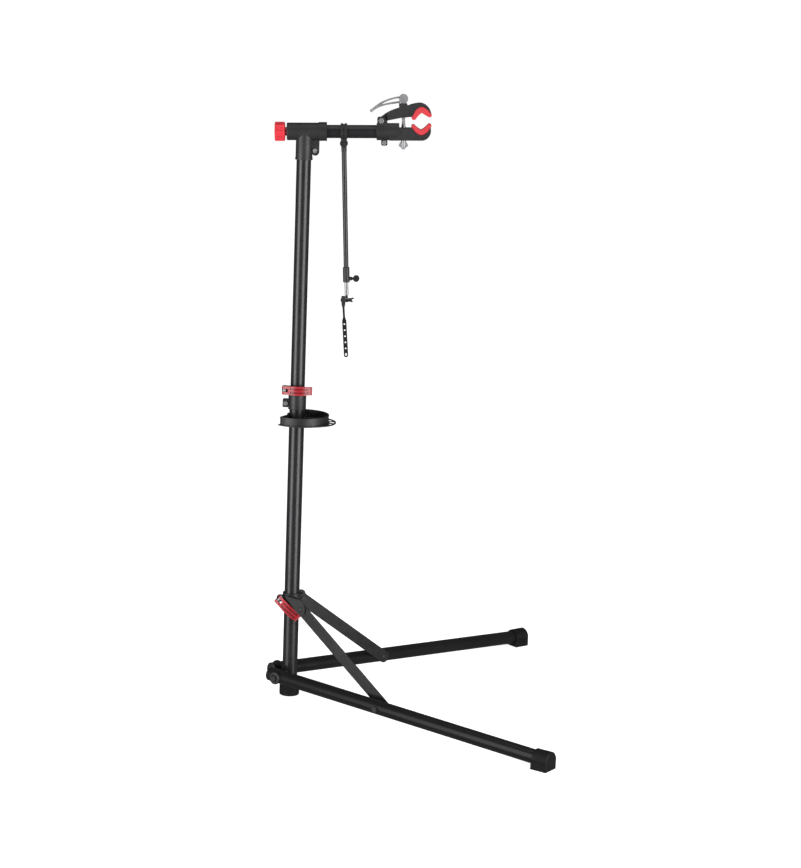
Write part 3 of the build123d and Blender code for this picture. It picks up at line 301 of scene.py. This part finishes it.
for node_name, node in NODES.items():
    node.data.materials.clear()
    node.data.materials.append(OWN_FINISH.get(node_name, FINISHES[SLOT_OF[node_name]]))


# ------------------------------------------------------------ frames taken from the record
def basis(origin, x_axis, y_axis):
    """Frame at a point, in metres, from its x and y directions."""
    x_axis, y_axis = Vector(x_axis).normalized(), Vector(y_axis).normalized()
    z_axis = x_axis.cross(y_axis)
    matrix = Matrix((x_axis, y_axis, z_axis)).transposed().to_4x4()
    return Matrix.Translation(Vector(origin)) @ matrix


ARM_AXIS = Vector(JOINTS["arm_rotate"]["axis"]).normalized()
ARM_UP = Vector((-ARM_AXIS.z, 0.0, ARM_AXIS.x))
ARM = basis(JOINTS["arm_rotate"]["pos_m"], ARM_AXIS, ARM_UP)
ROD_UP = -Vector(JOINTS["rod_extend"]["axis"]).normalized()
ROD_ACROSS = Vector((ROD_UP.z, 0.0, -ROD_UP.x))
ROD = basis(JOINTS["rod_fold"]["pos_m"], ROD_ACROSS, ROD_UP)


# ------------------------------------------------------------ shape helpers
def add_piece(name, mesh, matrix, slot, body, stands_for):
    """Put a modelled piece in place of the CAD nodes it stands for, and carry it on a body."""
    piece = bpy.data.objects.new(name, mesh)
    bpy.context.scene.collection.objects.link(piece)
    mesh.transform(matrix)
    mesh.materials.clear()
    mesh.materials.append(FINISHES[slot])
    mesh.shade_smooth()
    mesh.set_sharp_from_angle(angle=math.radians(48))
    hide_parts(*stands_for)
    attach(piece, body)


def sheet(loops, half, rounding):
    """Closed solid of even thickness with rounded rims: an outer loop, then its holes."""
    curve = bpy.data.curves.new("sheet", "CURVE")
    curve.dimensions = "2D"
    curve.fill_mode = "BOTH"
    curve.extrude = (half - rounding) * MM
    curve.bevel_depth = rounding * MM
    curve.bevel_resolution = 3
    curve.offset = -rounding * MM
    for loop in loops:
        spline = curve.splines.new("POLY")
        spline.points.add(len(loop) - 1)
        for point, (x, y) in zip(spline.points, loop):
            point.co = (x * MM, y * MM, 0.0, 1.0)
        spline.use_cyclic_u = True
    holder = bpy.data.objects.new("sheet", curve)
    bpy.context.scene.collection.objects.link(holder)
    bpy.context.view_layer.update()
    mesh = bpy.data.meshes.new_from_object(holder.evaluated_get(
        bpy.context.evaluated_depsgraph_get()))
    bpy.data.objects.remove(holder)
    return mesh


def arc(centre, radius, start, end, steps):
    """Points along an arc, its two ends included; the angles are in degrees."""
    points = []
    for index in range(steps + 1):
        angle = math.radians(start + (end - start) * index / steps)
        points.append((centre[0] + radius * math.cos(angle), centre[1] + radius * math.sin(angle)))
    return points


# ------------------------------------------------------------ rubber strap
def strap_piece():
    """Neck, soft shoulders, then a blade with a row of round holes and one long one."""
    neck, half, shoulder = STRAP_NECK_HALF_WIDTH, STRAP_HALF_WIDTH, STRAP_SHOULDER
    left = [(-neck, STRAP_TOP), (-neck, shoulder), (-2.9, shoulder - 3), (-3.8, shoulder - 6),
            (-4.8, shoulder - 8.5), (-half, STRAP_BLADE_TOP), (-half, STRAP_BLADE_END + 1.2)]
    right = [(-x, y) for x, y in reversed(left)]
    outline = left + arc((0, STRAP_BLADE_END), half, 180, 360, 16) + right
    loops = [outline]
    for index in range(STRAP_HOLE_COUNT):
        centre = (0, STRAP_HOLE_TOP - STRAP_HOLE_PITCH * index)
        loops.append(arc(centre, STRAP_HOLE_R, 360, 18, 19))
    last = arc((0, -117.6), STRAP_HOLE_R, 180, 0, 8) + arc((0, -120.4), STRAP_HOLE_R, 0, -180, 8)
    loops.append(last[::-1])
    place = Vector((STRAP_X, HOLDER_Y - STRAP_BELOW_HOLDER, 0)) * MM
    matrix = ROD @ Matrix.Translation(place) @ Matrix.Rotation(math.radians(STRAP_LEAN), 4, "Z")
    add_piece("strap_body", sheet(loops, STRAP_HALF_THICKNESS, 0.6), matrix, "black_rubber",
              "strap_holder", ["rubber_strap"])


# ------------------------------------------------------------ jaw pads
def arc_through(start, middle, end, steps):
    """Points on the circle through three points, without its two ends."""
    (ax, ay), (bx, by), (cx, cy) = start, middle, end
    d = 2 * (ax * (by - cy) + bx * (cy - ay) + cx * (ay - by))
    ux = ((ax * ax + ay * ay) * (by - cy) + (bx * bx + by * by) * (cy - ay)
          + (cx * cx + cy * cy) * (ay - by)) / d
    uy = ((ax * ax + ay * ay) * (cx - bx) + (bx * bx + by * by) * (ax - cx)
          + (cx * cx + cy * cy) * (bx - ax)) / d
    radius = math.hypot(ax - ux, ay - uy)
    first = math.atan2(ay - uy, ax - ux)
    turn = (math.atan2(cy - uy, cx - ux) - first) % math.tau
    half = (math.atan2(by - uy, bx - ux) - first) % math.tau
    if half > turn:
        turn -= math.tau
    return [(ux + radius * math.cos(first + turn * i / steps),
             uy + radius * math.sin(first + turn * i / steps)) for i in range(1, steps)]


def smooth_line(points, rounds):
    """The same line with its corners cut back again and again, its ends kept."""
    for _ in range(rounds):
        finer = [points[0]]
        for (ax, ay), (bx, by) in zip(points, points[1:]):
            finer += [(0.75 * ax + 0.25 * bx, 0.75 * ay + 0.25 * by),
                      (0.25 * ax + 0.75 * bx, 0.25 * ay + 0.75 * by)]
        points = finer + [points[-1]]
    return points


def pad_piece(name, body, node, back, front, right_tip, left_tip):
    """V-shaped pad from its back and front lines, closed by a round tip at each end."""
    loop = smooth_line(back, 2) + arc_through(back[-1], left_tip, front[0], 10)
    loop += smooth_line(front, 2) + arc_through(front[-1], right_tip, back[0], 10)
    add_piece(name, sheet([loop], PAD_HALF_WIDTH, PAD_ROUNDING), ARM, "red_pad", body, [node])


strap_piece()
pad_piece("pad_upper", "upper_jaw", "upper_pad",
          [(306.2, 45.2), (300.6, 52.2), (291.8, 58.8), (283.2, 61.4), (275.2, 58.8),
           (267.8, 51.6), (259.8, 36.6)],
          [(270.1, 31.5), (276.1, 39.7), (281.6, 44.2), (283.8, 46.4), (286.2, 44.4),
           (291.9, 41.0), (301.6, 35.4)], (308.0, 38.4), (262.6, 29.4))
pad_piece("pad_lower", "arm", "lower_pad",
          [(306.2, 11.2), (301.7, 2.8), (292.1, -5.6), (282.5, -8.8), (272.7, -4.5),
           (265.4, 2.7), (260.2, 9.9)],
          [(267.8, 15.9), (275.1, 9.4), (280.6, 6.6), (282.4, 4.8), (284.4, 6.2),
           (288.4, 8.0), (294.4, 13.6), (300.6, 19.4)], (307.2, 17.6), (261.0, 17.2))


# ------------------------------------------------------------ floor, light and camera
def floor():
    """Pale floor, kept out of reflections so that black parts stay black."""
    mesh = bpy.data.meshes.new("floor")
    size = FLOOR_HALF
    mesh.from_pydata([(-size, -size, 0), (size, -size, 0), (size, size, 0), (-size, size, 0)], [],
                     [(0, 1, 2, 3)])
    plane = bpy.data.objects.new("floor", mesh)
    bpy.context.scene.collection.objects.link(plane)
    material, tree, shader = new_material("floor_pale")
    coords = tree.nodes.new("ShaderNodeTexCoord").outputs["Object"]
    tint = ramp(tree, noise(tree, coords, 3.0), 0.3, 0.7, 0.0, 1.0)
    tree.links.new(mix_colour(tree, tint, (0.62, 0.62, 0.62), (0.60, 0.60, 0.60)),
                   shader.inputs["Base Color"])
    shader.inputs["Roughness"].default_value = 0.85
    shader.inputs["Specular IOR Level"].default_value = 0.1
    shader.inputs["Emission Color"].default_value = (1, 1, 1, 1)
    shader.inputs["Emission Strength"].default_value = 0.78
    mesh.materials.append(material)
    plane.visible_glossy = False
    plane.visible_shadow = False


def world():
    """White to the camera and soft grey in reflections, so that black parts keep their depth."""
    backdrop = bpy.data.worlds.new("world")
    bpy.context.scene.world = backdrop
    backdrop.use_nodes = True
    tree = backdrop.node_tree
    tree.nodes.clear()
    output = tree.nodes.new("ShaderNodeOutputWorld")
    shader = tree.nodes.new("ShaderNodeBackground")
    path = tree.nodes.new("ShaderNodeLightPath")
    glossy = mix_colour(tree, path.outputs["Is Glossy Ray"], (0.50, 0.50, 0.50), (0.10, 0.10, 0.103))
    seen = mix_colour(tree, path.outputs["Is Camera Ray"], glossy, (1.0, 1.0, 1.0))
    tree.links.new(seen, shader.inputs["Color"])
    tree.links.new(shader.outputs["Background"], output.inputs["Surface"])


def softbox(name, place, target, size, power):
    """Rectangular lamp that faces a target."""
    light = bpy.data.lights.new(name, "AREA")
    light.shape = "RECTANGLE"
    light.size, light.size_y = size
    light.energy = power
    lamp = bpy.data.objects.new(name, light)
    bpy.context.scene.collection.objects.link(lamp)
    direction = (Vector(target) - Vector(place)).normalized()
    lamp.matrix_world = Matrix.Translation(Vector(place)) @ direction.to_track_quat(
        "-Z", "Y").to_matrix().to_4x4()
    return lamp


def light_only(lamp, nodes, state):
    """Keep a light to some nodes, or away from them."""
    group = bpy.data.collections.new(lamp.name)
    for node in nodes:
        group.objects.link(node)
    lamp.light_linking.receiver_collection = group
    for entry in group.collection_objects:
        entry.light_linking.link_state = state


def camera():
    """Camera in front of the stand, turned, tipped down and rolled a little."""
    yaw, pitch, roll = CAMERA_YAW, CAMERA_PITCH, CAMERA_ROLL
    ahead = Vector((-math.sin(yaw) * math.cos(pitch), math.cos(yaw) * math.cos(pitch),
                    -math.sin(pitch)))
    right = Vector((math.cos(yaw), math.sin(yaw), 0.0))
    down = ahead.cross(right)
    x_axis = math.cos(roll) * right + math.sin(roll) * down
    y_axis = math.sin(roll) * right - math.cos(roll) * down
    lens = bpy.data.cameras.new("camera")
    lens.sensor_width = 36.0
    lens.lens = CAMERA_LENS
    lens.clip_end = 100.0
    viewer = bpy.data.objects.new("camera", lens)
    bpy.context.scene.collection.objects.link(viewer)
    viewer.matrix_world = basis(CAMERA_PLACE, x_axis, y_axis)
    bpy.context.scene.camera = viewer


floor()
world()
LEG_NODES = [node for name, node in NODES.items() if name.startswith("leg_tube")]
for side, x in (("left", -BOX_SIDE), ("right", BOX_SIDE)):
    # The legs lie level and would mirror the low end of the boxes, so they get dimmer ones.
    place, target = (x, BOX_FRONT, BOX_HEIGHT), (0, 0, BOX_HEIGHT)
    light_only(softbox("box_" + side, place, target, BOX_SIZE, BOX_POWER), LEG_NODES, "EXCLUDE")
    leg_box = softbox("leg_box_" + side, place, target, BOX_SIZE, LEG_BOX_POWER)
    light_only(leg_box, LEG_NODES, "INCLUDE")
softbox("top", TOP_PLACE, TOP_TARGET, TOP_SIZE, TOP_POWER)
camera()
bpy.context.scene.view_settings.view_transform = "Standard"
